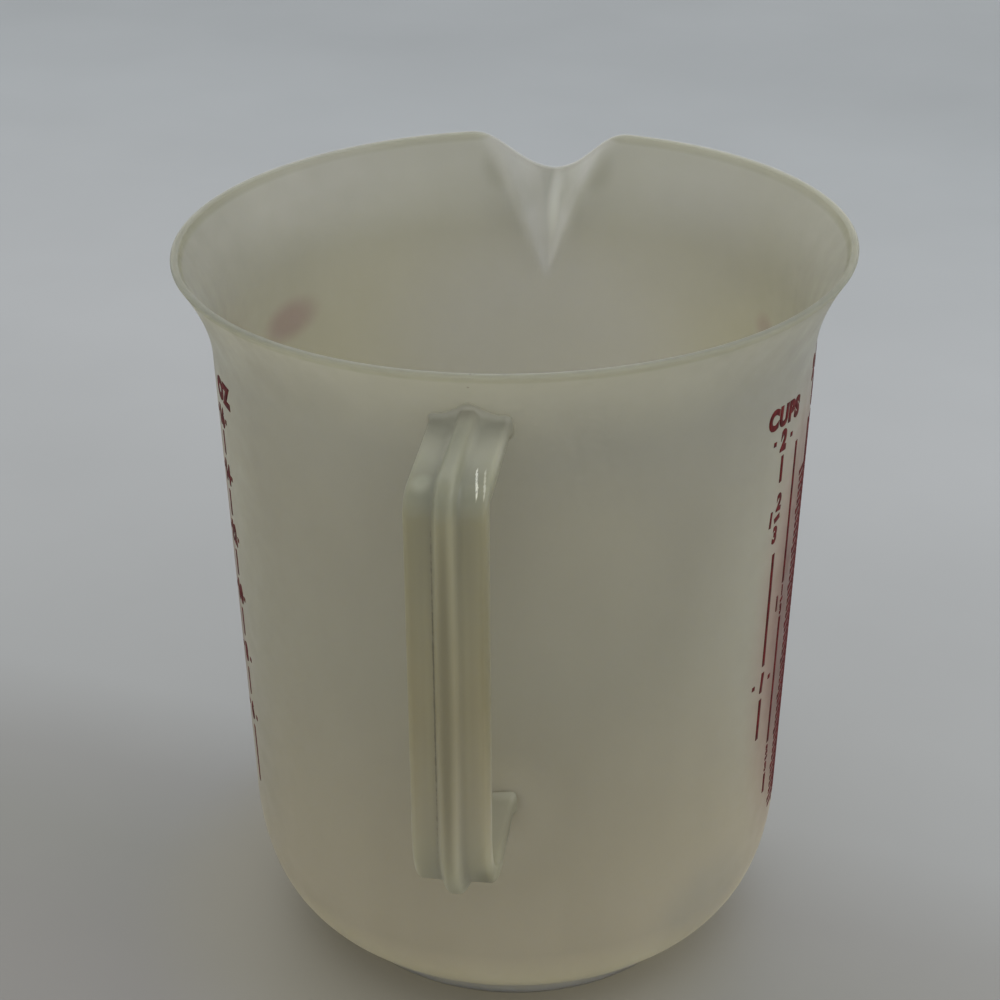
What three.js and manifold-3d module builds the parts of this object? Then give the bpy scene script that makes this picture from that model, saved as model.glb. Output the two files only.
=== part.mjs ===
// A two-cup measuring jug: a thin moulded plastic body with a flared mouth and a pouring spout,
// a strap handle with a rib along its back, and red scales printed on both sides.
// Millimetres, +Z up. The jug stands on z = 0, its handle points along -Y and its spout along +Y.

import * as THREE from 'three';
import Module from 'manifold-3d';
import { mergeVertices } from 'three/addons/utils/BufferGeometryUtils.js';

const wasm = await Module();
wasm.setup();

// Outside of the body, bottom to top
const footRadius = 30.9;
const footHeight = 4.5;
const lowWallRadius = 42.5;
const lowWallHeight = 26.1;
const neckRadius = 44.8;
const neckHeight = 100.2;
const rimRadius = 50;
const jugHeight = 115.5;

// How the corner and the flare bend: 2 is round, and a larger number is squarer or steeper
const cornerCurve = 2.34;
const flareCurve = 1.86;

// Plastic thicknesses
const wallThickness = 1.4;
const lipThickness = 1.2;
const lipRounding = 0.35;
const floorThickness = 1.8;
const footWall = 1.8;

// Pouring spout, pressed into the rim opposite the handle
const spoutWidth = 21.3;
const spoutReach = 5.5;
const spoutDrop = 8.4;
const spoutDepth = 24;
const spoutFlat = 0.2;

// Handle, measured from the jug's axis
const handleReach = 68.3;
const handleTop = 107.8;
const handleBottom = 43.9;
const handleWidth = 10.6;
const strapThickness = 2.6;
const strapRounding = 0.5;
const topBend = 3.5;
const lowBend = 12.8;
const ribWidth = 2;
const ribHeight = 1.8;

// Printed scales
const lineWidth = 0.8;
const inkThickness = 0.3;
const cup = 236.6;
const fluidOunce = cup / 8;
const numberHeight = 3.6;
const fractionHeight = 9.4;
const numberGap = 1.2;
const fullCups = 2;
const topMillilitres = 450;
const fractionHang = 2.2;
const wordDrop = 8.2;
const shortestLine = 2;

// Where the printed lines end, the outer ones of each side higher than its middle ones
const sideLineBottom = 22.5;
const cupBottom = 42;
const thirdCupBottom = 29;
const hundredBottom = 31;
const ounceBottom = 28;
const fiftyBottom = 28;

// Room left between two pieces that touch on the real jug
const seam = 0.3;

// How finely the round shapes are drawn
const turnSteps = 84;
const turnBunching = 0.38;
const cornerSteps = 8;
const flareSteps = 6;
const spoutRow = 3;
const bendSteps = 8;
const levelSteps = 200;

const plastic = () => new THREE.MeshStandardMaterial({ color: 0x9b9a8b, roughness: 0.42, metalness: 0 });
const ink = () => new THREE.MeshStandardMaterial({ color: 0x6b2226, roughness: 0.6, metalness: 0 });

/** The corner between foot and wall, from level at t = 0 to upright at t = 1. */
function cornerPoint(reach, rise, t) {
  const angle = (1 - t) * Math.PI / 2;
  const power = 2 / cornerCurve;
  const r = footRadius + reach * Math.max(Math.cos(angle), 0) ** power;
  const z = lowWallHeight - rise * Math.sin(angle) ** power;
  return new THREE.Vector2(r, z);
}

/** The flared mouth, from the neck at t = 0 to the lip at t = 1. */
function flarePoint(neck, lip, top, t) {
  const r = neck + (lip - neck) * t ** flareCurve;
  return new THREE.Vector2(r, neckHeight + (top - neckHeight) * t);
}

/** Radius of the straight outer wall at a height. */
function wallRadius(z) {
  return THREE.MathUtils.mapLinear(z, lowWallHeight, neckHeight, lowWallRadius, neckRadius);
}

/** One side of the body's wall, from the foot up to the lip. Inside it is a wall's thickness in. */
function wallCurve({ inset, floorLift, lipInset, top }) {
  const reach = lowWallRadius - footRadius - inset;
  const rise = lowWallHeight - footHeight - floorLift;
  const points = [];
  for (let i = 0; i <= cornerSteps; i += 1) {
    points.push(cornerPoint(reach, rise, i / cornerSteps));
  }
  for (let z = jugHeight - spoutDepth; z < neckHeight - spoutRow / 2; z += spoutRow) {
    points.push(new THREE.Vector2(wallRadius(z) - inset, z));
  }
  for (let i = 0; i <= flareSteps; i += 1) {
    points.push(flarePoint(neckRadius - inset, rimRadius - lipInset, top, i / flareSteps));
  }
  return points;
}

const lipTop = jugHeight - lipRounding;
const outside = wallCurve({ inset: 0, floorLift: 0, lipInset: 0, top: lipTop });
const inside = wallCurve({
  inset: wallThickness, floorLift: floorThickness, lipInset: lipThickness, top: lipTop,
});

/** The body's section: under the floor, down and round the foot ring, up, over the lip and back in. */
function bodySection() {
  const floorUnderside = footHeight;
  const floorTop = footHeight + floorThickness;
  return [
    new THREE.Vector2(0, floorUnderside),
    new THREE.Vector2(footRadius - footWall, floorUnderside),
    new THREE.Vector2(footRadius - footWall, 0),
    new THREE.Vector2(footRadius, 0),
    ...outside,
    new THREE.Vector2(rimRadius - lipRounding, jugHeight),
    new THREE.Vector2(rimRadius - lipThickness + lipRounding, jugHeight),
    ...inside.toReversed(),
    new THREE.Vector2(0, floorTop),
  ];
}

/** A section turned about the jug's axis, with the turn's steps bunched up round the spout. */
function turned(section) {
  const geometry = new THREE.LatheGeometry(section, turnSteps);
  geometry.rotateX(Math.PI / 2);
  const place = geometry.attributes.position;
  for (let i = 0; i < place.count; i += 1) {
    const r = Math.hypot(place.getX(i), place.getY(i));
    const even = Math.atan2(place.getX(i), place.getY(i));
    const angle = even - turnBunching * Math.sin(even);
    place.setXY(i, r * Math.sin(angle), r * Math.cos(angle));
  }
  return geometry;
}

/** How much of the spout's push a point gets: 1 along its valley, 0 outside its triangle. */
function spoutShare(angle, z) {
  const depth = (jugHeight - z) / spoutDepth;
  if (depth >= 1) return 0;
  const halfAngle = Math.asin(spoutWidth / 2 / rimRadius) * (1 - depth);
  const across = Math.abs(angle) / halfAngle;
  const slope = THREE.MathUtils.clamp((1 - across) / (1 - spoutFlat), 0, 1);
  const eased = (slope + THREE.MathUtils.smoothstep(slope, 0, 1)) / 2;
  return eased * (1 - depth);
}

/** Presses the spout out and down into the rim. */
function withSpout(geometry) {
  const place = geometry.attributes.position;
  for (let i = 0; i < place.count; i += 1) {
    const r = Math.hypot(place.getX(i), place.getY(i));
    const angle = Math.atan2(place.getX(i), place.getY(i));
    const z = place.getZ(i);
    const share = spoutShare(angle, z);
    const pushed = r + spoutReach * share;
    place.setXYZ(i, pushed * Math.sin(angle), pushed * Math.cos(angle), z - spoutDrop * share);
  }
  return geometry;
}

/** A closed geometry as a solid that can be joined and cut. */
function toSolid(geometry) {
  const bare = geometry.clone();
  bare.deleteAttribute('normal');
  bare.deleteAttribute('uv');
  const merged = mergeVertices(bare);
  return new wasm.Manifold(new wasm.Mesh({
    numProp: 3,
    vertProperties: new Float32Array(merged.attributes.position.array),
    triVerts: new Uint32Array(merged.index.array),
  }));
}

/** A solid back as a geometry. */
function toGeometry(solid) {
  const mesh = solid.getMesh();
  const geometry = new THREE.BufferGeometry();
  geometry.setAttribute('position', new THREE.BufferAttribute(mesh.vertProperties, 3));
  geometry.setIndex(new THREE.BufferAttribute(mesh.triVerts, 1));
  geometry.computeVertexNormals();
  return geometry;
}

/** Everything inside the body's outer wall and a seam's width beyond it. */
function insideWall() {
  const section = [
    new THREE.Vector2(0, footHeight),
    ...outside.map((p) => new THREE.Vector2(p.x + seam, p.y)),
    new THREE.Vector2(0, lipTop),
  ];
  return toSolid(turned(section));
}

/** The handle's side view as a bent band: x is the distance from the jug's axis and y the height. */
function strapOutline(outer, inner) {
  const root = lowWallRadius - wallThickness;
  const topCentre = [handleReach - topBend, handleTop - topBend];
  const lowCentre = [handleReach - lowBend, handleBottom + lowBend];
  const shape = new THREE.Shape();
  shape.moveTo(root, handleTop + outer);
  shape.absarc(...topCentre, topBend + outer, Math.PI / 2, 0, true);
  shape.absarc(...lowCentre, lowBend + outer, 0, -Math.PI / 2, true);
  shape.lineTo(root, handleBottom - outer);
  shape.lineTo(root, handleBottom + inner);
  shape.absarc(...lowCentre, lowBend - inner, -Math.PI / 2, 0, false);
  shape.absarc(...topCentre, topBend - inner, 0, Math.PI / 2, false);
  shape.lineTo(root, handleTop - inner);
  return shape;
}

/** A side view made as thick as the handle or its rib, centred on the handle's plane. */
function upright(shape, width, rounding) {
  const geometry = new THREE.ExtrudeGeometry(shape, {
    depth: width - 2 * rounding,
    curveSegments: bendSteps,
    bevelEnabled: rounding > 0,
    bevelThickness: rounding,
    bevelSize: rounding,
    bevelOffset: -rounding,
    bevelSegments: 1,
  });
  geometry.translate(0, 0, rounding - width / 2);
  const away = new THREE.Vector3(0, -1, 0);
  const up = new THREE.Vector3(0, 0, 1);
  const across = new THREE.Vector3(-1, 0, 0);
  geometry.applyMatrix4(new THREE.Matrix4().makeBasis(away, up, across));
  return geometry;
}

function handleGeometry() {
  const strap = toSolid(upright(strapOutline(0, strapThickness), handleWidth, strapRounding));
  const rib = toSolid(upright(strapOutline(ribHeight, strapThickness / 2), ribWidth, 0));
  return toGeometry(strap.add(rib).subtract(insideWall()));
}

/** Radius of the jug's inside at a height. */
function insideRadius(z) {
  const next = inside.findIndex((p) => p.y >= z);
  const above = inside[Math.max(next, 1)];
  const below = inside[Math.max(next, 1) - 1];
  return THREE.MathUtils.mapLinear(z, below.y, above.y, below.x, above.x);
}

/** Height that the liquid reaches when the jug holds this many millilitres. */
function levelOf(millilitres) {
  const floorTop = footHeight + floorThickness;
  const slice = (neckHeight - floorTop) / levelSteps;
  let held = 0;
  let z = floorTop;
  while (held < millilitres && z < neckHeight) {
    held += Math.PI * insideRadius(z + slice / 2) ** 2 * slice / 1000;
    z += slice;
  }
  return z;
}

/** An upright printed line on the wall, at an angle from the handle's plane. */
function printedLine(name, degrees, bottom, top) {
  const length = top - bottom;
  const middle = (top + bottom) / 2;
  const lean = Math.atan2(neckRadius - lowWallRadius, neckHeight - lowWallHeight);
  const line = new THREE.Mesh(new THREE.BoxGeometry(lineWidth, inkThickness, length), ink());
  line.name = name;
  line.position.set(0, -(wallRadius(middle) + seam + inkThickness / 2), middle);
  line.rotation.x = lean;
  const turn = new THREE.Group();
  turn.rotation.z = THREE.MathUtils.degToRad(degrees);
  turn.add(line);
  return turn;
}

/** The gap that a number of this height leaves in its scale's line, hung under its level or centred. */
function numberBreak(millilitres, height, hang) {
  const middle = levelOf(millilitres) - hang;
  const room = height / 2 + numberGap;
  return { top: middle + room, bottom: middle - room };
}

const plainBreak = (millilitres) => numberBreak(millilitres, numberHeight, 0);
const smallBreak = (millilitres) => numberBreak(millilitres, numberHeight, fractionHang);
const fractionBreak = (millilitres) => numberBreak(millilitres, fractionHeight, 0);

/** A scale's line, broken wherever one of its numbers stands, from the highest number down. */
function scaleLines({ name, degrees, top, bottom, breaks }) {
  const used = breaks.filter((gap) => gap.bottom - shortestLine > bottom);
  const starts = [top, ...used.map((gap) => gap.bottom)];
  const stops = [...used.map((gap) => gap.top), bottom];
  return starts.map((start, i) => printedLine(`${name}_line_${i + 1}`, degrees, stops[i], start));
}

const underFull = plainBreak(fullCups * cup).bottom;
const underTop = plainBreak(topMillilitres).bottom;
const underWord = neckHeight - wordDrop - numberGap;
const cupBreaks = [fractionBreak(5 / 3 * cup), plainBreak(cup)];
const thirdCupBreaks = [smallBreak(4 / 3 * cup), smallBreak(2 / 3 * cup)];
const ounceBreaks = [14, 12, 10, 8, 6].map((ounces) => plainBreak(ounces * fluidOunce));
const hundredBreaks = [400, 300, 200].map(plainBreak);
const fiftyBreaks = [350, 250, 150].map(plainBreak);

const sideLine = { top: underWord, bottom: sideLineBottom, breaks: [] };

const scales = [
  { name: 'cup', degrees: 66, top: underFull, bottom: cupBottom, breaks: cupBreaks },
  { name: 'third_cup', degrees: 73, top: underFull, bottom: thirdCupBottom, breaks: thirdCupBreaks },
  { name: 'right_front', degrees: 83, ...sideLine },
  { name: 'right_rear', degrees: 97, ...sideLine },
  {
    name: 'hundred_millilitre',
    degrees: 117,
    top: levelOf(topMillilitres),
    bottom: hundredBottom,
    breaks: hundredBreaks,
  },
  { name: 'ounce', degrees: -66, top: underFull, bottom: ounceBottom, breaks: ounceBreaks },
  { name: 'left_front', degrees: -83, ...sideLine },
  { name: 'left_rear', degrees: -97, ...sideLine },
  { name: 'fifty_millilitre', degrees: -117, top: underTop, bottom: fiftyBottom, breaks: fiftyBreaks },
];

const body = new THREE.Mesh(withSpout(turned(bodySection())), plastic());
body.name = 'jug_body';

const handle = new THREE.Mesh(handleGeometry(), plastic());
handle.name = 'handle';

// The origin is the middle of the jug's bounding box on the surface it stands on.
const jug = new THREE.Group();
jug.position.y = (handleReach + ribHeight - rimRadius - spoutReach) / 2;
jug.add(body, handle, ...scales.flatMap(scaleLines));

export default jug;
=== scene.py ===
# %% [markdown]
# # A plastic measuring jug
#
# This lesson dresses the model of a two-cup measuring jug. The real jug is a single thin moulding of
# natural polypropylene, the milky plastic of food boxes, with red scales printed on both sides.
# The frame gives every size and place, so the lesson starts by loading it and measuring it.

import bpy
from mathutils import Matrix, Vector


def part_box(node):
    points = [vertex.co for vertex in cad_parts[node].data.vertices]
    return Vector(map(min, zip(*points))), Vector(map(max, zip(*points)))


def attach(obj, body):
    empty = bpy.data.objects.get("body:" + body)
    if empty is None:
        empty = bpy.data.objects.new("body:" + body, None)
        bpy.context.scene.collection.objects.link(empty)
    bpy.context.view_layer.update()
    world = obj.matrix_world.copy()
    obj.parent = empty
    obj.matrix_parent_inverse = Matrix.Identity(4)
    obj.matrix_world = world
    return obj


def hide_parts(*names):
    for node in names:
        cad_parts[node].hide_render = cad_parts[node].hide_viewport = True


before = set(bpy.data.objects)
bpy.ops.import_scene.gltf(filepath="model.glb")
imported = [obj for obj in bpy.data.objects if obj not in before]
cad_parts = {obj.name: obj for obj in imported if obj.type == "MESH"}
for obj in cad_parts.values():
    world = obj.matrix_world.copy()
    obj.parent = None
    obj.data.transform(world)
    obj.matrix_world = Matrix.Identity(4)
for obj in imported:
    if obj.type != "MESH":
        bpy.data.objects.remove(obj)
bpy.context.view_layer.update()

import math

import bmesh
import bpy
from mathutils import Matrix, Vector, noise

mm = 0.001
body_low, body_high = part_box("jug_body")
rim_radius = (body_high.x - body_low.x) / 2
axis_y = body_low.y + rim_radius
jug_height = body_high.z
print(f"rim {2 * rim_radius / mm:.1f} mm across, jug {jug_height / mm:.1f} mm high")
print(f"the round body's axis stands at y {axis_y / mm:.2f} mm")

# %% [markdown]
# ## Camera
#
# The camera stands where the photograph was taken from: a little to the right of the handle, about
# 30 cm from the jug's axis and 23 cm above the table, looking down. Its place is given round the jug's
# axis, because that is how one would set up the real camera.

# %% Camera
camera_azimuth = math.radians(7.2)
camera_distance = 302.8 * mm
camera_height = 230.5 * mm
camera_pitch = math.radians(27.65)
camera_yaw = math.radians(0.43)
camera_roll = math.radians(-0.37)
camera_lens = 79.15

camera = bpy.data.objects.new("camera", bpy.data.cameras.new("camera"))
bpy.context.scene.collection.objects.link(camera)
camera.location = (
    camera_distance * math.sin(camera_azimuth),
    axis_y - camera_distance * math.cos(camera_azimuth),
    camera_height,
)
turn = Matrix.Rotation(camera_azimuth + camera_yaw, 3, "Z")
tilt = Matrix.Rotation(math.pi / 2 - camera_pitch, 3, "X")
roll = Matrix.Rotation(camera_roll, 3, "Z")
camera.rotation_euler = (turn @ tilt @ roll).to_euler()
camera.data.lens = camera_lens
bpy.context.scene.camera = camera
print("camera at", [round(c / mm, 1) for c in camera.location], "mm")

# %% [markdown]
# ## Helpers for colours, nodes and pieces
#
# Colours are written as a paint program shows them and turned to the linear values that a renderer
# uses. A material is a small tree of nodes, so one helper adds a node, with its settings and links.
# Another turns a finished bmesh into a piece that rides on the frame.

# %% Helpers
# The thin mouth cooled a little out of level: its +X side stands higher and its -X side lower.
mouth_lean = 0.68 * mm


def linear(code):
    """An sRGB hex colour as the linear colour, with an alpha of 1, that a node takes."""
    shares = [int(code[i:i + 2], 16) / 255 for i in (1, 3, 5)]
    return [s / 12.92 if s <= 0.04045 else ((s + 0.055) / 1.055) ** 2.4 for s in shares] + [1]


def add(tree, kind, values, **settings):
    """Adds a node, and gives each input that is named or numbered in values a link or a value."""
    node = tree.nodes.new(kind)
    for name, setting in settings.items():
        setattr(node, name, setting)
    for name, value in values.items():
        if isinstance(value, bpy.types.NodeSocket):
            tree.links.new(value, node.inputs[name])
        else:
            node.inputs[name].default_value = value
    return node


def new_material(name):
    """An empty material: its tree, its Principled shader and the place of each point on the object."""
    material = bpy.data.materials.new(name)
    material.use_nodes = True
    tree = material.node_tree
    place = add(tree, "ShaderNodeTexCoord", {}).outputs["Object"]
    return material, tree, tree.nodes["Principled BSDF"], place


def new_piece(bm, name, material, slot, replaced):
    """Leans the bmesh with the mouth, and makes it a smooth piece in place of some frame nodes."""
    for face in bm.faces:
        face.smooth = True
    for vertex in bm.verts:
        share = vertex.co.z / jug_height
        vertex.co.z += mouth_lean * vertex.co.x / rim_radius * share * share
    mesh = bpy.data.meshes.new(name)
    bm.to_mesh(mesh)
    bm.free()
    mesh.materials.append(material)
    piece = bpy.data.objects.new(name, mesh)
    bpy.context.scene.collection.objects.link(piece)
    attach(piece, "root")
    if slot == "ink":
        # The real film passes light on to the plastic, so it keeps none from the wall behind it.
        piece.visible_shadow = False
        piece.visible_diffuse = False
    if replaced:
        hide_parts(*replaced)


# %% [markdown]
# ## Natural polypropylene
#
# Polypropylene without pigment is cloudy because its crystals scatter light. Light goes into the wall,
# wanders some millimetres and comes out again on either side, so the jug glows softly where light is
# behind it, and thick places such as the handle look darker and greener. That is what a subsurface
# shader draws. It was injection moulded in a tool with a fine satin finish: the surface is smooth to
# the touch but blurs reflections. Years of use left fine scuffs and a few specks of dirt.
#
# A subsurface shader only knows its own object, so it misses what light carries from one piece to the
# next: the foot lit from inside, the handle's root lit through the wall, and the red that the ink lends
# to the plastic round it. Those, with some shade and highlights, are painted as small changes of tint,
# drawn as a ramp over the height and as a list of soft oval marks, among the real specks of dirt.

# %% Natural polypropylene, moulded with a satin finish
# A noise texture's values lie mostly between 0.3 and 0.7, so its patterns are spread from there.
noise_spread = {"From Min": 0.3, "From Max": 0.7}
cloud_width = 20 * mm
cloud_stretch = 0.45
speck_size = 0.6 * mm
speck_grain = 0.8 * mm
dimple_width = 0.5 * mm
dimple_depth = 0.012 * mm
wave_width = 9 * mm
wave_depth = 0.12 * mm
scuff_width = 4 * mm
polypropylene_ior = 1.49


def moulded_polypropylene(name, tints, scatter, roughness, marks):
    """The jug's plastic, with tints of painted light and shade by height from the foot up, and marks on it.
    """
    material, tree, shader, place = new_material(name)

    # The height follows the mouth's lean, so that the painted shade on the lip stays on the lip.
    level = add(tree, "ShaderNodeVectorMath", {0: place, 1: (-mouth_lean / rim_radius, 0, 1)},
                operation="DOT_PRODUCT")
    rise = add(tree, "ShaderNodeMapRange", {"Value": level.outputs["Value"], "From Max": jug_height})
    tint = add(tree, "ShaderNodeValToRGB", {0: rise.outputs["Result"]})
    stops = tint.color_ramp.elements
    stops.remove(stops[1])
    stops[0].color = linear(tints[0][1])
    for height, code in tints[1:]:
        stops.new(height * mm / jug_height).color = linear(code)

    # Flow of the melt leaves soft clouds, drawn out upwards.
    drawn = add(tree, "ShaderNodeMapping", {"Vector": place, "Scale": (1, 1, cloud_stretch)})
    clouds = add(tree, "ShaderNodeTexNoise",
                 {"Vector": drawn.outputs[0], "Scale": 1 / cloud_width, "Detail": 3.0})
    cloud_share = add(tree, "ShaderNodeMapRange",
                      {"Value": clouds.outputs[0], **noise_spread, "To Min": 0.95, "To Max": 1.05})
    clouded = add(tree, "ShaderNodeVectorMath", {0: tint.outputs[0], "Scale": cloud_share.outputs["Result"]},
                  operation="SCALE")
    colour = clouded.outputs[0]

    # Each mark is an oval with its middle, its half sizes, its strength and its colour. A fine noise
    # makes the edges of specks and scratches ragged. Wider marks are changes of light, and stay soft.
    ragged = add(tree, "ShaderNodeTexNoise", {"Vector": place, "Scale": 1 / speck_grain, "Detail": 2.0})
    edge = add(tree, "ShaderNodeMapRange",
               {"Value": ragged.outputs[0], **noise_spread, "To Min": -0.25, "To Max": 0.25})
    for middle, reach, strength, code in marks:
        moved = add(tree, "ShaderNodeVectorMath", {0: place, 1: middle}, operation="SUBTRACT")
        scaled = add(tree, "ShaderNodeVectorMath", {0: moved.outputs[0], 1: reach}, operation="DIVIDE")
        away = add(tree, "ShaderNodeVectorMath", {0: scaled.outputs[0]}, operation="LENGTH").outputs["Value"]
        if min(reach) < speck_size:
            away = add(tree, "ShaderNodeMath", {0: away, 1: edge.outputs["Result"]}).outputs[0]
        share = add(tree, "ShaderNodeMapRange",
                    {"Value": away, "From Min": 0.3, "To Min": strength, "To Max": 0.0},
                    interpolation_type="SMOOTHSTEP")
        colour = add(tree, "ShaderNodeMix", {0: share.outputs["Result"], 6: colour, 7: linear(code)},
                     data_type="RGBA").outputs[2]
    tree.links.new(colour, shader.inputs["Base Color"])

    # The tool's satin finish gives fine dimples, and the plastic's shrinkage gives long waves.
    dimples = add(tree, "ShaderNodeTexNoise", {"Vector": place, "Scale": 1 / dimple_width, "Detail": 2.0})
    satin = add(tree, "ShaderNodeBump",
                {"Height": dimples.outputs[0], "Strength": 0.25, "Distance": dimple_depth})
    waves = add(tree, "ShaderNodeTexNoise",
                {"Vector": drawn.outputs[0], "Scale": 1 / wave_width, "Detail": 1.0})
    shrunk = add(tree, "ShaderNodeBump", {"Height": waves.outputs[0], "Strength": 0.35,
                                          "Distance": wave_depth, "Normal": satin.outputs[0]})
    tree.links.new(shrunk.outputs[0], shader.inputs["Normal"])

    # Scuffs from washing make the gloss uneven, in patches a few millimetres wide.
    scuffs = add(tree, "ShaderNodeTexNoise", {"Vector": place, "Scale": 1 / scuff_width, "Detail": 5.0})
    uneven = add(tree, "ShaderNodeMapRange", {"Value": scuffs.outputs[0], **noise_spread,
                                              "To Min": roughness - 0.06, "To Max": roughness + 0.08})
    tree.links.new(uneven.outputs["Result"], shader.inputs["Roughness"])

    # Blue light is scattered soonest, so it wanders the least and the glow is a little warm.
    shader.inputs["IOR"].default_value = polypropylene_ior
    shader.inputs["Subsurface Weight"].default_value = 1.0
    shader.inputs["Subsurface Radius"].default_value = (1.0, 0.95, 0.75)
    shader.inputs["Subsurface Scale"].default_value = scatter
    return material


# %% Marks on the wall
def on_wall(degrees, radius, height):
    """A place at an angle from the handle's plane, a radius from the axis and a height, in mm."""
    angle = math.radians(degrees)
    return radius * mm * math.sin(angle), axis_y - radius * mm * math.cos(angle), height * mm


def ovals(*sizes):
    """Half sizes of a mark, in mm."""
    return tuple(size * mm for size in sizes)


dirt = "#3A352A"
ink_glow = "#7E4440"
ink_shade = "#5D3F38"
inside_glow = "#725F64"
side_light = "#9B9889"
inside_light = "#8C8C92"
mouth_shade = "#686866"
spout_shade = "#58584F"
spout_highlight = "#A9A89D"
# In this order: painted light and shade where light comes through the wall, painted shade and light at the
# mouth and round the spout, painted highlights in its valley, the painted red glow and shade that the ink
# outside lends to the plastic, seen from outside and from inside, and specks of dirt.
wall_marks = [
    (on_wall(180, 44, 80), ovals(40, 42, 30), 0.7, inside_light),
    (on_wall(68, 44, 66), ovals(16, 20, 40), 0.45, side_light),
    (on_wall(21, 43, 79), ovals(14, 14, 26), 0.4, side_light),
    (on_wall(-66, 44, 60), ovals(16, 20, 55), 0.5, side_light),
    (on_wall(4, 43, 42), ovals(12, 12, 14), 0.6, "#B1A993"),
    (on_wall(52, 40, 17), ovals(14, 14, 12), 0.4, "#8E8E86"),
    (on_wall(125, 44, 106), ovals(30, 32, 14), 0.4, mouth_shade),
    (on_wall(-133, 46, 112), ovals(16, 16, 8), 0.3, mouth_shade),
    (on_wall(-33, 46, 109), ovals(14, 14, 8), 0.3, mouth_shade),
    (on_wall(35, 46, 108), ovals(14, 14, 8), 0.3, "#87877F"),
    (on_wall(180, 49, 109), ovals(11, 12, 8), 0.8, spout_shade),
    (on_wall(180, 50, 112), ovals(14, 14, 7), 0.5, spout_shade),
    (on_wall(145, 45, 101), ovals(22, 18, 18), 0.35, "#73747A"),
    (on_wall(170.5, 48, 110.5), ovals(4, 12, 5), 0.5, spout_shade),
    (on_wall(-170.5, 48, 110.5), ovals(4, 12, 5), 0.45, spout_shade),
    (on_wall(175, 48, 105.5), ovals(3, 12, 6), 0.42, spout_shade),
    (on_wall(-175, 48, 105.5), ovals(3, 12, 5), 0.35, spout_shade),
    (on_wall(179.3, 46, 105), ovals(1.5, 10, 8), 0.9, spout_highlight),
    (on_wall(178.8, 46, 107), ovals(2.2, 10, 4), 0.9, spout_highlight),
    (on_wall(78, 44, 58), ovals(14, 16, 48), 0.55, ink_glow),
    (on_wall(80, 44, 59), ovals(9, 11, 45), 0.9, ink_shade),
    (on_wall(-86, 44, 60), ovals(9, 24, 48), 0.25, ink_glow),
    (on_wall(-71, 44, 62), ovals(4, 4, 48), 0.6, "#6E5048"),
    (on_wall(-116.5, 44, 92.2), ovals(7, 9.5, 4.4), 0.95, inside_glow),
    (on_wall(121, 44, 93.3), ovals(3.8, 3.8, 3.2), 0.6, inside_glow),
    (on_wall(0.7, 49.2, 115.4), ovals(0.3, 0.5, 0.35), 0.8, dirt),
    (on_wall(1.3, 49.1, 115.5), ovals(0.3, 0.4, 0.3), 0.7, dirt),
    (on_wall(0.3, 48.6, 113.5), ovals(0.3, 1, 0.3), 0.9, dirt),
    (on_wall(48, 44, 42), ovals(0.4, 0.4, 0.45), 0.8, dirt),
]
# The tints by height are painted light and shade: paler at the foot, which is lit from inside, darker
# towards the mouth, and darkest in a band on the lip.
wall_shading_tints = [(0, "#DCD0B0"), (9, "#CEC2A2"), (16, "#AFA58E"), (33, "#A59D87"), (65, "#949182"),
              (90, "#87857B"), (104, "#7D7D78"), (111, "#787873"), (114.2, "#71716B"), (114.6, "#65665B")]
# Light spreads far in the thin wall. The handle is thicker and holds it back.
wall_scatter = 12 * mm
wall_roughness = 0.42
wall_plastic = moulded_polypropylene("natural_polypropylene_wall", wall_shading_tints, wall_scatter,
                                     wall_roughness, wall_marks)
print("wall with", len(wall_shading_tints), "tints and", len(wall_marks), "marks")

# %% Marks on the handle
# Painted highlights on the upper bend, where it faces up to the light.
bend_highlight = "#B4B4A0"
rubbed_highlight = "#E0E0D2"
# In this order: painted light on the arms near the wall, painted shade beside the lower arm, painted shade
# on the rib and painted light in the grooves beside it, painted shade at the strap's edges, a painted
# highlight on the bend and a long dirty scratch.
handle_marks = [
    (on_wall(0, 44, 108), ovals(12, 12, 9), 0.95, "#ADAA97"),
    (on_wall(0, 53, 107.6), ovals(12, 13, 2.2), 0.95, "#A5A493"),
    (on_wall(0, 50, 46), ovals(12, 16, 9), 0.9, "#96927E"),
    (on_wall(4.5, 64, 48), ovals(3, 9, 6), 0.5, "#6B6853"),
    (on_wall(6.1, 52, 45), ovals(1.2, 12, 6), 0.5, "#6B6853"),
    (on_wall(0, 70.2, 78), ovals(1.7, 2.4, 38), 0.6, "#736E58"),
    (on_wall(-1.9, 70, 78), ovals(1.1, 3, 40), 0.4, "#B7B08E"),
    (on_wall(1.9, 70, 78), ovals(1.1, 3, 40), 0.35, "#B7B08E"),
    (on_wall(-5.1, 70.3, 84), ovals(3, 9, 50), 0.35, "#5F5A42"),
    (on_wall(5.1, 70.3, 84), ovals(2.4, 9, 50), 0.7, "#5F5A42"),
    (on_wall(-2.9, 64.8, 107.9), ovals(1.6, 3, 2.6), 0.35, bend_highlight),
    (on_wall(-1.4, 68.5, 80), ovals(0.18, 3, 28), 0.5, dirt),
]
# Two streaks of painted highlight run over the upper bend, where it is rubbed, each a row of short ovals
# that touch.
for step in range(6):
    bright = on_wall(2.85 + 0.08 * step, 61.5 + step, 107.9)
    faint = on_wall(3.85 + 0.04 * step, 61.5 + step, 107.8)
    handle_marks.append((bright, ovals(0.13, 1.3, 3), 0.95, rubbed_highlight))
    handle_marks.append((faint, ovals(0.12, 1.3, 2.8), 0.35, rubbed_highlight))
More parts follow.
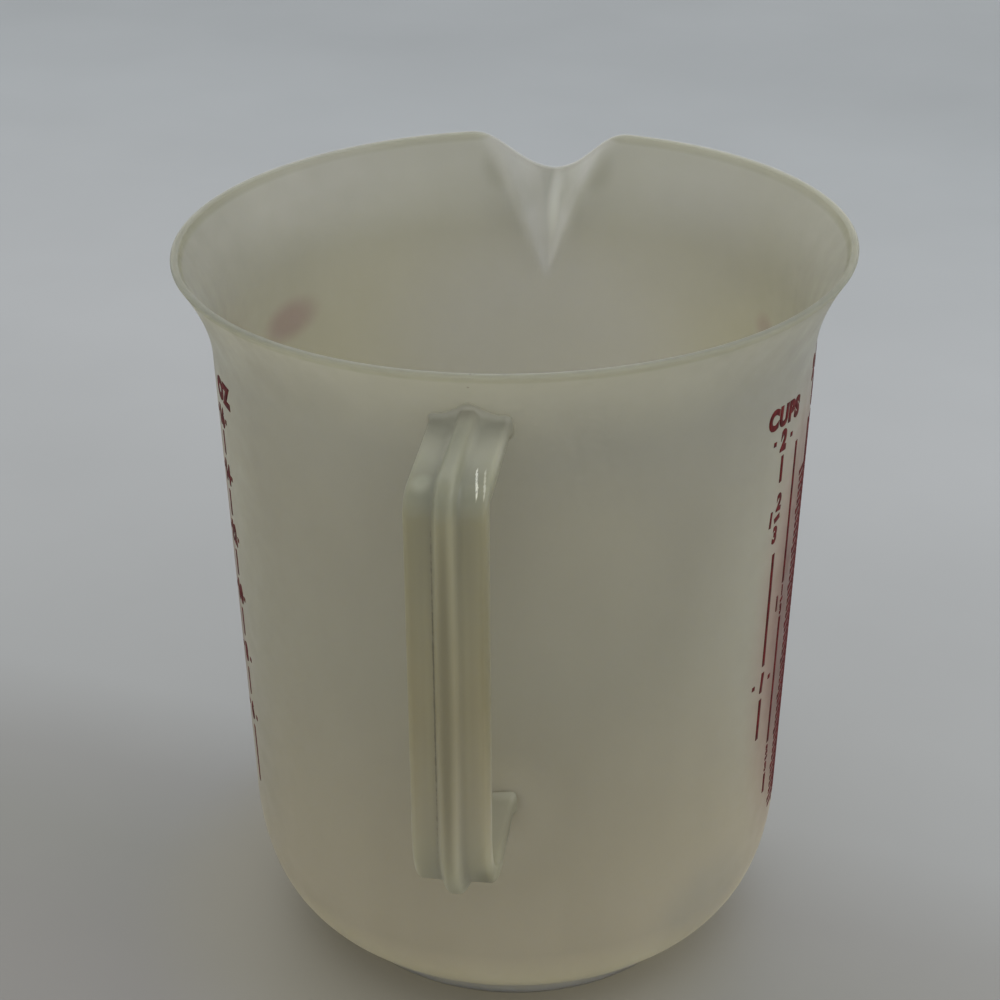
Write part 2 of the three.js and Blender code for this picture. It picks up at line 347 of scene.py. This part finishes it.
# The tints by height are painted light and shade: lighter on the lower arm and bend, darker over the upper
# bend where the strap turns down.
handle_shading_tints = [(0, "#A8A68E"), (48, "#A8A68E"), (60, "#A59F87"), (77, "#9E977A"), (92, "#9D987D"),
                (104, "#9A967C"), (107, "#868672"), (108.8, "#868672"), (110, "#909080"), (111.3, "#8E8D7E")]
handle_scatter = 4 * mm
handle_roughness = 0.45
handle_plastic = moulded_polypropylene("natural_polypropylene_handle", handle_shading_tints, handle_scatter,
                                       handle_roughness, handle_marks)
print("handle with", len(handle_shading_tints), "tints and", len(handle_marks), "marks")

# %% The handle's plastic, fading out at the wall
# The real handle runs on into the wall, but the shader finds a dark end there. So the light's
# wandering fades out towards the wall, between these two radii from the jug's axis.
scatter_none = 47 * mm
scatter_full = 62 * mm

tree = handle_plastic.node_tree
place = tree.nodes["Texture Coordinate"].outputs["Object"]
from_axis = add(tree, "ShaderNodeVectorMath", {0: place, 1: (0, axis_y, 0)}, operation="SUBTRACT")
level = add(tree, "ShaderNodeVectorMath", {0: from_axis.outputs[0], 1: (1, 1, 0)}, operation="MULTIPLY")
reach = add(tree, "ShaderNodeVectorMath", {0: level.outputs[0]}, operation="LENGTH")
depth = add(tree, "ShaderNodeMapRange",
            {"Value": reach.outputs["Value"], "From Min": scatter_none, "From Max": scatter_full})
tree.links.new(depth.outputs["Result"], tree.nodes["Principled BSDF"].inputs["Subsurface Weight"])
print(f"light wanders in the handle beyond {scatter_none / mm:.0f} mm from the axis")

# %% [markdown]
# ## Body
#
# The body is round, so it is turned: half of its section is drawn as a chain of points and spun about
# the jug's axis. The corner over the foot is a squarish curve and the mouth flares like a trumpet, so
# both come from a formula with a power in it. Only the foot, the wall and the lip have points of their
# own, and the frame gives their radii.

# %% The body's driving sizes
foot_height = 4.5 * mm
low_wall_height = 26.1 * mm
neck_height = 100.2 * mm
foot_wall = 1.8 * mm
floor_thickness = 1.8 * mm
wall_thickness = 1.4 * mm
lip_thickness = 1.2 * mm
lip_radius = 0.4 * mm
lip_top = jug_height - lip_radius
# Powers of the two curves: 2 would make the corner a plain ellipse, and 1 would make the mouth a cone.
corner_curve = 2.34
flare_curve = 1.86

body_points = [vertex.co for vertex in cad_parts["jug_body"].data.vertices]
same_level = 0.05 * mm


def frame_radius(height):
    """The frame's largest radius at a height, on the handle's side, where no spout disturbs it."""
    near = [p for p in body_points if abs(p.z - height) < same_level and p.y < axis_y]
    return max(math.hypot(p.x, p.y - axis_y) for p in near)


foot_radius = frame_radius(foot_height)
low_wall_radius = frame_radius(low_wall_height)
neck_radius = frame_radius(neck_height)
radii = [round(radius / mm, 2) for radius in (foot_radius, low_wall_radius, neck_radius)]
print("radii of foot, low wall and neck:", radii, "mm")

# %% The body's section
corner_steps = 16
wall_row = 1.5 * mm
flare_steps = 16


def wall_radius(height):
    """Radius of the straight outer wall at a height."""
    share = (height - low_wall_height) / (neck_height - low_wall_height)
    return low_wall_radius + share * (neck_radius - low_wall_radius)


def flare_radius(height, neck, lip):
    """Radius of the flared mouth at a height, between its radius at the neck and at the lip."""
    share = max(height - neck_height, 0) / (lip_top - neck_height)
    return neck + (lip - neck) * min(share, 1) ** flare_curve


def outer_radius(height):
    """Radius of the body's outside at a height, from the low wall up to the lip."""
    if height < neck_height:
        return wall_radius(height)
    return flare_radius(height, neck_radius, rim_radius)


def wall_side(inset, floor_lift, lip_inset):
    """One side of the wall as (radius, height) points from the foot to the lip, a distance in."""
    reach = low_wall_radius - foot_radius - inset
    rise = low_wall_height - foot_height - floor_lift
    power = 2 / corner_curve
    points = []
    for i in range(corner_steps + 1):
        angle = math.pi / 2 * (1 - i / corner_steps)
        radius = foot_radius + reach * max(math.cos(angle), 0) ** power
        points.append((radius, low_wall_height - rise * math.sin(angle) ** power))
    rows = round((neck_height - low_wall_height) / wall_row)
    for i in range(1, rows):
        height = low_wall_height + i * wall_row
        points.append((wall_radius(height) - inset, height))
    for i in range(flare_steps + 1):
        height = neck_height + (lip_top - neck_height) * i / flare_steps
        points.append((flare_radius(height, neck_radius - inset, rim_radius - lip_inset), height))
    return points


foot_inside = foot_radius - foot_wall
section = [(0, foot_height), (foot_inside, foot_height), (foot_inside, 0), (foot_radius, 0)]
section += wall_side(0, 0, 0)
section += [(rim_radius, jug_height), (rim_radius - lip_thickness, jug_height)]
section += reversed(wall_side(wall_thickness, floor_thickness, lip_thickness))
section += [(0, foot_height + floor_thickness)]
print("section of", len(section), "points")

# %% [markdown]
# A lathe could spin the chain with a Screw modifier, but spin gives the mesh at once, and the next steps
# need it: the rims get their small radii while they are still perfect circles, and the spout is pressed
# in last, as it was in the tool. The turn's steps are bunched up towards the spout, where the shape
# changes most.

# %% The body, turned
turn_steps = 288
turn_bunching = 0.38
foot_edge = 0.25 * mm
edge_segments = 4
# Points nearer than the first are merged. A point is found by its place to within the second.
merge_distance = 0.001 * mm
close = 0.01 * mm


def circles(bm, corners):
    """The edges of the turned mesh that run round it through the section's named corners."""
    found = []
    for edge in bm.edges:
        ends = [(math.hypot(v.co.x, v.co.y - axis_y), v.co.z) for v in edge.verts]
        for radius, height in corners:
            if all(abs(r - radius) < close and abs(z - height) < close for r, z in ends):
                found.append(edge)
    return found


bm = bmesh.new()
chain = [bm.verts.new((0, axis_y - radius, height)) for radius, height in section]
for lower, upper in zip(chain, chain[1:]):
    bm.edges.new((lower, upper))
bmesh.ops.spin(bm, geom=bm.verts[:] + bm.edges[:], cent=(0, axis_y, 0), axis=(0, 0, 1),
               angle=2 * math.pi, steps=turn_steps, use_merge=True)
bmesh.ops.remove_doubles(bm, verts=bm.verts, dist=merge_distance)
lip_corners = [(rim_radius, jug_height), (rim_radius - lip_thickness, jug_height)]
foot_corners = [(foot_radius, 0), (foot_inside, 0)]
# The lip's bevel stops just short of its radius, because the section has its next point there.
for corners, radius in ((lip_corners, 0.98 * lip_radius), (foot_corners, foot_edge)):
    bmesh.ops.bevel(bm, geom=circles(bm, corners), offset=radius, offset_type="OFFSET",
                    segments=edge_segments, profile=0.5, affect="EDGES", material=-1)
bmesh.ops.recalc_face_normals(bm, faces=bm.faces)
print("turned body of", len(bm.faces), "faces")

# %% The spout, pressed out and down into the rim
spout_reach = body_high.y - axis_y - rim_radius
spout_width = 21.3 * mm
spout_drop = 8.4 * mm
spout_depth = 24 * mm
# The share of its width that the valley keeps flat, and how softly its edges are rounded.
spout_flat = 0.2
spout_softness = 0.32


def soft_step(value):
    """Rises from 0 to 1 as value does, straight in the middle and rounded at both ends."""
    if value > 0.5:
        return 1 - soft_step(1 - value)
    if value < -spout_softness:
        return 0
    if value < spout_softness:
        return (value + spout_softness) ** 2 / (4 * spout_softness)
    return value


def spout_share(angle, height):
    """How much of the spout's push a point gets: 1 in its valley at the lip, 0 outside its triangle."""
    depth = (jug_height - height) / spout_depth
    if depth >= 1:
        return 0
    half_angle = math.asin(spout_width / 2 / rim_radius) * (1 - depth)
    slope = (1 - abs(angle) / half_angle) / (1 - spout_flat)
    return soft_step(slope) * (1 - depth)


for vertex in bm.verts:
    radius = math.hypot(vertex.co.x, vertex.co.y - axis_y)
    even = math.atan2(vertex.co.x, vertex.co.y - axis_y)
    angle = even - turn_bunching * math.sin(even)
    share = spout_share(angle, vertex.co.z)
    pushed = radius + spout_reach * share
    height = vertex.co.z - spout_drop * share
    vertex.co = (pushed * math.sin(angle), axis_y + pushed * math.cos(angle), height)

new_piece(bm, "moulded_body", wall_plastic, "polypropylene", ["jug_body"])
print("body from", [round(c / mm, 1) for c in body_low], "to", [round(c / mm, 1) for c in body_high])

# %% [markdown]
# ## Handle
#
# The handle is a flat strap with a rib along its back, swept out from the mouth, down and back to the
# wall. It is made the way it looks: its section is one flat face with rounded corners, which is pushed
# along straight runs and spun through the two bends. The rib fades into the arm near the wall like a
# little roof, and the ends follow the wall's curve.

# %% The handle's section
handle_low, handle_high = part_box("handle")
handle_width = handle_high.x - handle_low.x
rib_height = 1.8 * mm
rib_crest = 1.8 * mm
rib_root = 3.4 * mm
strap_thickness = 2.6 * mm
strap_edge = 0.8 * mm
rib_edge = 0.55 * mm
handle_reach = axis_y - handle_low.y - rib_height
handle_top = handle_high.z - rib_height
handle_bottom = handle_low.z + rib_height
top_bend = 3.5 * mm
low_bend = 12.8 * mm
top_root = 45 * mm
low_root = 42.6 * mm
print(f"handle {handle_width / mm:.1f} mm wide, reaches {handle_reach / mm:.1f} mm from the axis")

bm = bmesh.new()
half, third = handle_width / 2, handle_width / 3
outline = [(-half, -strap_thickness), (half, -strap_thickness), (half, 0), (third, 0), (rib_root / 2, 0),
           (rib_crest / 2, rib_height), (-rib_crest / 2, rib_height), (-rib_root / 2, 0), (-third, 0),
           (-half, 0)]
corners = [bm.verts.new((x, axis_y - top_root, handle_top + z)) for x, z in outline]
bm.faces.new(corners)
strap_corners = corners[:3] + corners[-1:]
bmesh.ops.bevel(bm, geom=strap_corners, offset=strap_edge, segments=edge_segments, profile=0.5,
                affect="VERTICES", material=-1)
rib_corners = [v for v in bm.verts if abs(v.co.x) < rib_root / 2 + close and v.co.z > handle_top - close]
bmesh.ops.bevel(bm, geom=rib_corners, offset=rib_edge, segments=edge_segments, profile=0.5,
                affect="VERTICES", material=-1)
bmesh.ops.delete(bm, geom=bm.faces[:], context="FACES_ONLY")
print("section of", len(bm.verts), "points")

# %% The handle's sweep
arm_steps = 18
strap_steps = 24
top_bend_steps = 12
low_bend_steps = 20
root_run = 2.4 * mm
root_steps = 12


def push(ring, move, steps):
    """Extrudes a ring in a straight run and gives the ring at its end."""
    made = bmesh.ops.spin(bm, geom=ring, cent=(0, 0, 0), axis=(1, 0, 0), dvec=move / steps,
                          angle=0, steps=steps)
    return made["geom_last"]


def bend(ring, distance, height, steps):
    """Spins a ring a quarter turn about a point at a distance from the jug's axis and a height."""
    made = bmesh.ops.spin(bm, geom=ring, cent=(0, axis_y - distance, height), axis=(1, 0, 0),
                          angle=math.pi / 2, steps=steps)
    return made["geom_last"]


outwards, downwards = Vector((0, -1, 0)), Vector((0, 0, -1))
top_length = handle_reach - top_bend - top_root
strap_length = handle_top - top_bend - handle_bottom - low_bend
low_length = handle_reach - low_bend - low_root
ring = bm.verts[:] + bm.edges[:]
ring = push(ring, outwards * root_run, root_steps)
ring = push(ring, outwards * (top_length - root_run), arm_steps)
ring = bend(ring, handle_reach - top_bend, handle_top - top_bend, top_bend_steps)
ring = push(ring, downwards * strap_length, strap_steps)
ring = bend(ring, handle_reach - low_bend, handle_bottom + low_bend, low_bend_steps)
ring = push(ring, -outwards * (low_length - root_run), arm_steps)
ring = push(ring, -outwards * root_run, root_steps)
bmesh.ops.remove_doubles(bm, verts=bm.verts, dist=merge_distance)
bmesh.ops.holes_fill(bm, edges=[e for e in bm.edges if e.is_boundary], sides=0)
bmesh.ops.recalc_face_normals(bm, faces=bm.faces)
print("handle of", len(bm.faces), "faces, open edges", sum(not e.is_manifold for e in bm.edges))

# %% The handle's roots
root_length = 5 * mm
root_sink = 0.4 * mm
fillet_radius = 2 * mm
side_swell = 0.4
gable_length = 7 * mm
gable_width = 3.2 * mm
gable_rise = 1.4 * mm


def seat(vertex, root, middle):
    """Moves a vertex near the root so that the arm's end follows the wall and swells to a fillet."""
    run = max(axis_y - vertex.co.y - root, 0)
    near = max(1 - run / root_length, 0)
    out = max(1 - run / fillet_radius, 0)
    swell = fillet_radius * (1 - math.sqrt(1 - out * out))
    arm = max(abs(vertex.co.x) / half, abs(vertex.co.z - middle) / (strap_thickness / 2))
    vertex.co.x += side_swell * swell * vertex.co.x / half / max(arm, 1)
    vertex.co.z += swell * (vertex.co.z - middle) / (strap_thickness / 2) / max(arm, 1)
    if near > 0:
        radius = outer_radius(vertex.co.z) - root_sink
        target = math.sqrt(radius * radius - vertex.co.x ** 2)
        vertex.co.y -= near * (target - root)


for vertex in bm.verts:
    distance = axis_y - vertex.co.y
    if vertex.co.z > handle_top - close:
        near = max(1 - (distance - neck_radius) / gable_length, 0)
        across = max(1 - abs(vertex.co.x) / gable_width, 0)
        vertex.co.z = max(vertex.co.z, handle_top + (rib_height + gable_rise) * near ** 2 * across)
    if vertex.co.z > handle_top - strap_thickness - close:
        seat(vertex, top_root, handle_top - strap_thickness / 2)
    elif vertex.co.z < handle_bottom + strap_thickness + close:
        seat(vertex, low_root, handle_bottom + strap_thickness / 2)

new_piece(bm, "strap_handle", handle_plastic, "polypropylene", ["handle"])
print("handle from", [round(c / mm, 1) for c in handle_low], "to", [round(c / mm, 1) for c in handle_high])

# %% [markdown]
# ## Red ink
#
# The scales are screen printed: a stiff paste is squeezed through a mesh onto the wall and stays as a
# film a few hundredths of a millimetre thick, matt and slightly uneven at its edges. The print is drawn
# flat, as the printer's artwork is, and then wrapped round the wall. The film is drawn 0.05 mm thick,
# so that it stands clear of the wall in any view.

# %% Printed ink, matt
ink_patch = 1.2 * mm
ink_grain = 0.02 * mm
thick_ink = "#4A0F10"
thin_ink = "#6A1C1D"


def screen_ink():
    """Red paste ink, thinner in places where the screen lifted."""
    material, tree, shader, place = new_material("screen_printed_red_ink")
    patches = add(tree, "ShaderNodeTexNoise", {"Vector": place, "Scale": 1 / ink_patch, "Detail": 3.0})
    share = add(tree, "ShaderNodeMapRange",
                {"Value": patches.outputs[0], "From Min": 0.35, "From Max": 0.65})
    colour = add(tree, "ShaderNodeMix",
                 {0: share.outputs["Result"], 6: linear(thick_ink), 7: linear(thin_ink)}, data_type="RGBA")
    grain = add(tree, "ShaderNodeBump",
                {"Height": patches.outputs[0], "Strength": 0.3, "Distance": ink_grain})
    tree.links.new(colour.outputs[2], shader.inputs["Base Color"])
    tree.links.new(grain.outputs[0], shader.inputs["Normal"])
    shader.inputs["Roughness"].default_value = 0.7
    shader.inputs["Specular IOR Level"].default_value = 0.2
    return material


red_ink = screen_ink()
print(red_ink.name, "from", thick_ink, "to", thin_ink)

# %% Wrapping flat artwork round the wall
film_thickness = 0.05 * mm
film_sink = 0.02 * mm
artwork_step = 0.6 * mm
cut_distance = 0.0001 * mm


def wrap(bm, degrees):
    """Cuts flat artwork into strips and lays it on the wall, centred at an angle from the handle."""
    left = min(v.co.x for v in bm.verts)
    right = max(v.co.x for v in bm.verts)
    cuts = int((right - left) / artwork_step)
    for i in range(1, cuts + 1):
        bmesh.ops.bisect_plane(bm, geom=bm.verts[:] + bm.edges[:] + bm.faces[:], dist=cut_distance,
                               plane_co=(left + i * artwork_step, 0, 0), plane_no=(1, 0, 0))
    for vertex in bm.verts:
        across, height, proud = vertex.co
        radius = outer_radius(height)
        angle = math.radians(degrees) + across / radius
        radius += proud - film_sink
        vertex.co = (radius * math.sin(angle), axis_y - radius * math.cos(angle), height)


def add_bar(bm, across, height, width, length):
    """A flat rectangle of ink in the artwork, as a thin box."""
    made = bmesh.ops.create_cube(bm, size=1)
    bmesh.ops.scale(bm, vec=(width, length, film_thickness + film_sink), verts=made["verts"])
    bmesh.ops.translate(bm, vec=(across, height, (film_thickness + film_sink) / 2), verts=made["verts"])
    return made["verts"]


# %% Printed lines
line_width = 0.8 * mm
edge_wave = 0.05 * mm
wave_length = 1.3 * mm

line_names = sorted(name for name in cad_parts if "_line_" in name)
for name in line_names:
    low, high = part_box(name)
    length = high.z - low.z
    middle = (low + high) / 2
    degrees = math.degrees(math.atan2(middle.x, axis_y - middle.y))
    bm = bmesh.new()
    add_bar(bm, 0, middle.z, line_width, length)
    long_edges = [e for e in bm.edges if abs(e.verts[0].co.y - e.verts[1].co.y) > line_width]
    bmesh.ops.subdivide_edges(bm, edges=long_edges, cuts=int(length / wave_length), use_grid_fill=True)
    for vertex in bm.verts:
        wander = noise.noise(Vector((degrees, vertex.co.x / line_width, vertex.co.y / wave_length)))
        vertex.co.x += edge_wave * wander
    wrap(bm, degrees)
    new_piece(bm, name + "_print", red_ink, "ink", [name])
print(len(line_names), "printed lines")

# %% [markdown]
# The words and numbers are text made into meshes. A text object gives the letters' outlines, and the
# mesh is scaled to the height that the print has, because a font's size says little about how tall its
# letters are. Where a number stands comes from the gap that the frame's lines leave for it.

# %% Letters as artwork
# Shares of the font's own sizes: the letters' spacing and width, and how far the ink spreads.
letter_spacing = 1.15
letter_width = 0.82
print_weight = 0.055
letter_steps = 4


def add_text(bm, words, height, across, middle, condense=letter_width, weight=print_weight):
    """Adds words to the artwork, centred on a point, with capitals of the given height."""
    curve = bpy.data.curves.new("letters", "FONT")
    curve.body = words
    curve.align_x = "CENTER"
    curve.space_character = letter_spacing
    # Half a unit to each side makes letters 1 thick, which are scaled to the film's thickness below.
    curve.extrude = 0.5
    curve.offset = weight
    curve.resolution_u = letter_steps
    helper = bpy.data.objects.new("letters", curve)
    bpy.context.scene.collection.objects.link(helper)
    mesh = bpy.data.meshes.new_from_object(helper.evaluated_get(bpy.context.evaluated_depsgraph_get()))
    before = set(bm.verts)
    bm.from_mesh(mesh)
    made = [v for v in bm.verts if v not in before]
    bottom, top = min(v.co.y for v in made), max(v.co.y for v in made)
    size = height / (top - bottom)
    bmesh.ops.translate(bm, vec=(0, -(bottom + top) / 2, 0.5), verts=made)
    bmesh.ops.scale(bm, vec=(condense * size, size, film_thickness + film_sink), verts=made)
    bmesh.ops.translate(bm, vec=(across, middle, 0), verts=made)
    bmesh.ops.remove_doubles(bm, verts=made, dist=merge_distance)
    bpy.data.objects.remove(helper)
    bpy.data.curves.remove(curve)
    bpy.data.meshes.remove(mesh)


def print_label(bm, name, degrees, askew=0):
    """Turns finished artwork a little askew, wraps it round the wall and makes it a piece."""
    heights = [v.co.y for v in bm.verts]
    bmesh.ops.rotate(bm, cent=(0, (min(heights) + max(heights)) / 2, 0),
                     matrix=Matrix.Rotation(askew, 3, "Z"), verts=bm.verts)
    wrap(bm, degrees)
    new_piece(bm, name, red_ink, "ink", [])


# %% Numbers in the scales' gaps
number_height = 3.5 * mm
digit_room = 2.5 * mm
dash_length = 0.8 * mm
dash_width = 0.7 * mm
dash_place = 2.75 * mm
large_digit = 2.9 * mm
small_digit = 1.8 * mm
whole_height = 2.6 * mm
whole_rise = 0.3 * mm
bar_slant = math.radians(18)
# Shares of a digit's height: how far it stands from its fraction's bar, and the bar's width and height.
digit_offset = 0.9
bar_width = 0.6
bar_height = 0.3
# The share of its own height that a whole number stands to the left of its fraction.
whole_offset = 0.8
# The cup scale was printed a little askew, and each screen left its own weight of ink.
scale_askew = {"cup": math.radians(-6)}
scale_weight = {"ounce": 0.09, "cup": 0.07, "hundred_millilitre": 0.025, "fifty_millilitre": 0.025}


def gap_middle(scale, number):
    """Height of the middle of the gap over a scale's line of this number."""
    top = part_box(f"{scale}_line_{number}")[1].z
    if number == 1:
        return top + digit_room
    return (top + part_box(f"{scale}_line_{number - 1}")[0].z) / 2


def scale_angle(scale):
    """The angle of a scale's line from the handle's plane."""
    low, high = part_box(f"{scale}_line_1")
    return math.degrees(math.atan2(low.x + high.x, 2 * axis_y - low.y - high.y))


def add_fraction(bm, whole, upper, lower, digit, across, middle):
    """A stacked fraction with a slanting bar, and a whole number on its left."""
    offset = digit_offset * digit
    add_text(bm, upper, digit, across, middle + offset)
    add_text(bm, lower, digit, across, middle - offset)
    bar = add_bar(bm, 0, 0, bar_width * digit, bar_height * digit)
    bmesh.ops.rotate(bm, cent=(0, 0, 0), matrix=Matrix.Rotation(bar_slant, 3, "Z"), verts=bar)
    bmesh.ops.translate(bm, vec=(across, middle, 0), verts=bar)
    if whole:
        add_text(bm, whole, whole_height, across - whole_offset * whole_height, middle + whole_rise)


plain_numbers = {
    "cup": {1: "2", 3: "1"},
    "ounce": {1: "16", 2: "14", 3: "12", 4: "10", 5: "8", 6: "6"},
    "hundred_millilitre": {2: "400", 3: "300", 4: "200"},
    "fifty_millilitre": {1: "450", 2: "350", 3: "250", 4: "150"},
}
for scale, numbers in plain_numbers.items():
    for gap, number in numbers.items():
        bm = bmesh.new()
        middle = gap_middle(scale, gap)
        add_text(bm, number, number_height, 0, middle, weight=scale_weight[scale])
        dash_from = max(v.co.x for v in bm.verts) + dash_length
        for side in (-1, 1):
            add_bar(bm, side * max(dash_place, dash_from), middle, dash_length, dash_width)
        print_label(bm, f"{scale}_number_{number}", scale_angle(scale), scale_askew.get(scale, 0))

# Each fraction: its scale, its gap, its whole number, what stands over and under the bar, its digits.
fractions = [("cup", 2, "1", "2", "3", large_digit), ("third_cup", 2, "1", "1", "3", small_digit),
             ("third_cup", 3, "", "2", "3", small_digit)]
for scale, gap, whole, upper, lower, digit in fractions:
    bm = bmesh.new()
    add_fraction(bm, whole, upper, lower, digit, 0, gap_middle(scale, gap))
    name = f"{scale}_number_{whole or 0}_{upper}_{lower}"
    print_label(bm, name, scale_angle(scale), scale_askew.get(scale, 0))
print(sum(len(numbers) for numbers in plain_numbers.values()), "numbers and", len(fractions), "fractions")

# %% Words over the scales
# Each word's scale, its letters, its angle from the handle, and its middle's and its capitals' height.
word_width = 0.95
words = [("cup", "CUPS", 66, 97.1 * mm, 3.4 * mm), ("ounce", "OZ", -62.6, 98.1 * mm, 3.8 * mm),
         ("hundred_millilitre", "ML", 120.5, 93.8 * mm, 3 * mm),
         ("fifty_millilitre", "ML", -116.5, 94.9 * mm, 3 * mm)]
for scale, text, degrees, middle, height in words:
    bm = bmesh.new()
    # A thickened M crosses itself in its middle, so ML keeps the font's own weight.
    weight = 0 if text == "ML" else scale_weight[scale]
    add_text(bm, text, height, 0, middle, condense=word_width, weight=weight)
    print_label(bm, f"{scale}_word", degrees, scale_askew.get(scale, 0))

# The capacity stands in two rows on each side's widest point.
capacity_width = 0.85
capacity_height = 4 * mm
capacity_words = [("2 CUP", 98.9 * mm), ("SIZE", 94 * mm)]
for side, side_name in ((-1, "left"), (1, "right")):
    for text, middle in capacity_words:
        bm = bmesh.new()
        add_text(bm, text, capacity_height, 0, middle, condense=capacity_width)
        print_label(bm, f"{side_name}_capacity_{text.split()[-1].lower()}", 90 * side)
print(len(words) + 2 * len(capacity_words), "words")

# %% Ticks on both sides of the long side lines
tick_length = 3 * mm
long_tick_length = 3.6 * mm
long_tick_every = 5
tick_spacing = 1.3 * mm
tick_width = 0.75 * mm
outer_ticks_top = 84 * mm
# Which way along the wall the side's widest point lies from each line.
inward_ways = {"left_front": -1, "left_rear": 1, "right_front": 1, "right_rear": -1}
for scale, inwards in inward_ways.items():
    low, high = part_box(f"{scale}_line_1")
    tick_count = int((high.z - low.z) / tick_spacing)
    bm = bmesh.new()
    for i in range(tick_count):
        height = high.z - tick_width - i * tick_spacing
        length = tick_length if i % long_tick_every else long_tick_length
        offset = (length + line_width) / 2
        add_bar(bm, inwards * offset, height, length, tick_width)
        if height < outer_ticks_top:
            add_bar(bm, -inwards * offset, height, length, tick_width)
    print_label(bm, f"{scale}_ticks", scale_angle(scale))
    print(tick_count, "ticks beside", scale)

# %% [markdown]
# ## Table and light
#
# The jug stands on a plain pale table. A sheet of it three metres wide fills the view, and its colour
# has soft clouds like worn laminate. The light is the even light of a kitchen: a pale world all round
# and one large soft lamp on the jug's right, about a metre away and above it.

# %% Table
# Tints by distance in mm towards the back, along a line that leans a little to the right. They are painted
# light and shade: darker and browner at the front, where the jug's shadow falls, and a little darker far
# back.
table_slant = (0.25, 1, 0)
table_shading_tints = [(-40, "#9A9792"), (-10, "#999892"), (12, "#9D9C99"), (38, "#ABACAB"), (200, "#B2B4B5"),
               (393, "#A7ABAD"), (480, "#9FA3A5")]
table_cloud_width = 70 * mm
glow_middle = (-11 * mm, 0, 0)
glow_inner = 33 * mm
glow_outer = 57 * mm
foot_glow = "#A09C8F"


def pale_laminate():
    """Pale laminate with clouds a hand wide, and painted shade that makes it browner and darker near its
    front edge.
    """
    material, tree, shader, place = new_material("pale_laminate")
    nearest, farthest = table_shading_tints[0][0], table_shading_tints[-1][0]
    back = add(tree, "ShaderNodeVectorMath", {0: place, 1: table_slant}, operation="DOT_PRODUCT")
    depth = add(tree, "ShaderNodeMapRange",
                {"Value": back.outputs["Value"], "From Min": nearest * mm, "From Max": farthest * mm})
    tint = add(tree, "ShaderNodeValToRGB", {0: depth.outputs["Result"]})
    stops = tint.color_ramp.elements
    stops.remove(stops[1])
    stops[0].color = linear(table_shading_tints[0][1])
    for distance, code in table_shading_tints[1:]:
        stops.new((distance - nearest) / (farthest - nearest)).color = linear(code)
    clouds = add(tree, "ShaderNodeTexNoise",
                 {"Vector": place, "Scale": 1 / table_cloud_width, "Detail": 4.0})
    share = add(tree, "ShaderNodeMapRange",
                {"Value": clouds.outputs[0], **noise_spread, "To Min": 0.97, "To Max": 1.03})
    clouded = add(tree, "ShaderNodeVectorMath", {0: tint.outputs[0], "Scale": share.outputs["Result"]},
                  operation="SCALE")

    # Light that came through the jug from the lamp's side warms the laminate round its foot.
    from_foot = add(tree, "ShaderNodeVectorMath", {0: place, 1: glow_middle}, operation="DISTANCE")
    glow = add(tree, "ShaderNodeMapRange",
               {"Value": from_foot.outputs["Value"], "From Min": glow_inner, "From Max": glow_outer,
                "To Min": 1.0, "To Max": 0.0}, interpolation_type="SMOOTHSTEP")
    colour = add(tree, "ShaderNodeMix",
                 {0: glow.outputs["Result"], 6: clouded.outputs[0], 7: linear(foot_glow)}, data_type="RGBA")
    tree.links.new(colour.outputs[2], shader.inputs["Base Color"])
    shader.inputs["Roughness"].default_value = 0.5
    return material


table_size = 3
bm = bmesh.new()
bmesh.ops.create_grid(bm, x_segments=1, y_segments=1, size=table_size / 2)
table_mesh = bpy.data.meshes.new("table")
bm.to_mesh(table_mesh)
bm.free()
table_mesh.materials.append(pale_laminate())
table = bpy.data.objects.new("table", table_mesh)
bpy.context.scene.collection.objects.link(table)
print(f"table {table_size} m wide")

# %% Light
world_light = "#F2F4F6"
world_strength = 0.9
lamp_length = 0.9
lamp_width = 0.6
lamp_watts = 2.2
lamp_place = Vector((0.9, 0.1, 0.6))
lamp_target = Vector((0, 0, 0.06))

world = bpy.data.worlds.new("kitchen")
world.use_nodes = True
bpy.context.scene.world = world
background = world.node_tree.nodes["Background"]
background.inputs["Color"].default_value = linear(world_light)
background.inputs["Strength"].default_value = world_strength

lamp = bpy.data.objects.new("side_lamp", bpy.data.lights.new("side_lamp", "AREA"))
bpy.context.scene.collection.objects.link(lamp)
lamp.data.shape = "RECTANGLE"
lamp.data.size = lamp_length
lamp.data.size_y = lamp_width
lamp.data.energy = lamp_watts
lamp.location = lamp_place
lamp.rotation_euler = (lamp_target - lamp_place).to_track_quat("-Z", "Y").to_euler()
print("lamp at", [round(c, 2) for c in lamp_place], "m")

bpy.context.scene.view_settings.view_transform = "Standard"
